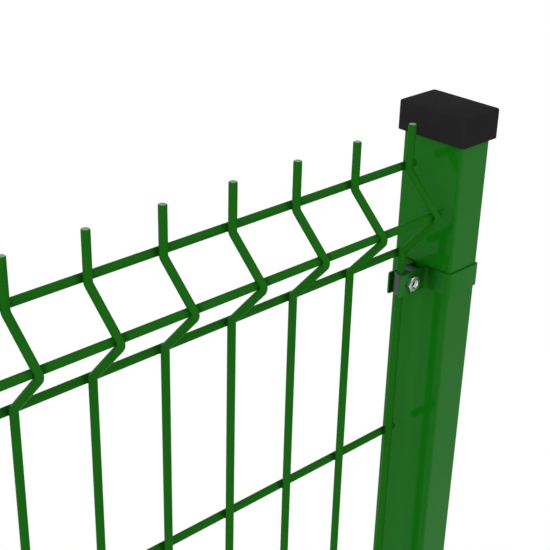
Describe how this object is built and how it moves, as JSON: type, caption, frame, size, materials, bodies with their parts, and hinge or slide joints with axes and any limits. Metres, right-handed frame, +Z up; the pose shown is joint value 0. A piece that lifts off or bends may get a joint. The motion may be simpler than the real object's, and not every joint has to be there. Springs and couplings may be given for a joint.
{
  "type": "welded mesh fence panel",
  "caption": "Bay of welded wire fence: folded mesh panel with spiked top held by bolted clamps between two capped rectangular posts on base plates.",
  "frame": {"origin": "centre of the underside of the left post's base plate", "axes": "+X along the fence to the right post, +Y away from the side that the folds point to, +Z up"},
  "size_m": [2.157, 0.12, 1.5016],
  "materials": {
    "green_powder_coat": "satin green powder coat",
    "black_cap_plastic": "fine moulded texture",
    "grey_insert_plastic": "smooth moulded",
    "zinc_plated_steel": "bright zinc plate"
  },
  "bodies": {
    "root": {"mesh_left": "green_powder_coat", "mesh_right": "green_powder_coat", "post_left": "green_powder_coat", "base_plate_left": "green_powder_coat", "cap_left": "black_cap_plastic", "clamp_strap_left_top": "green_powder_coat", "clamp_insert_left_top": "grey_insert_plastic", "clamp_bolt_left_top": "zinc_plated_steel", "clamp_nut_left_top": "zinc_plated_steel", "clamp_strap_left_middle": "green_powder_coat", "clamp_insert_left_middle": "grey_insert_plastic", "clamp_bolt_left_middle": "zinc_plated_steel", "clamp_nut_left_middle": "zinc_plated_steel", "clamp_strap_left_bottom": "green_powder_coat", "clamp_insert_left_bottom": "grey_insert_plastic", "clamp_bolt_left_bottom": "zinc_plated_steel", "clamp_nut_left_bottom": "zinc_plated_steel", "post_right": "green_powder_coat", "base_plate_right": "green_powder_coat", "cap_right": "black_cap_plastic", "clamp_strap_right_top": "green_powder_coat", "clamp_insert_right_top": "grey_insert_plastic", "clamp_bolt_right_top": "zinc_plated_steel", "clamp_nut_right_top": "zinc_plated_steel", "clamp_strap_right_middle": "green_powder_coat", "clamp_insert_right_middle": "grey_insert_plastic", "clamp_bolt_right_middle": "zinc_plated_steel", "clamp_nut_right_middle": "zinc_plated_steel", "clamp_strap_right_bottom": "green_powder_coat", "clamp_insert_right_bottom": "grey_insert_plastic", "clamp_bolt_right_bottom": "zinc_plated_steel", "clamp_nut_right_bottom": "zinc_plated_steel"}
  },
  "joints": []
}
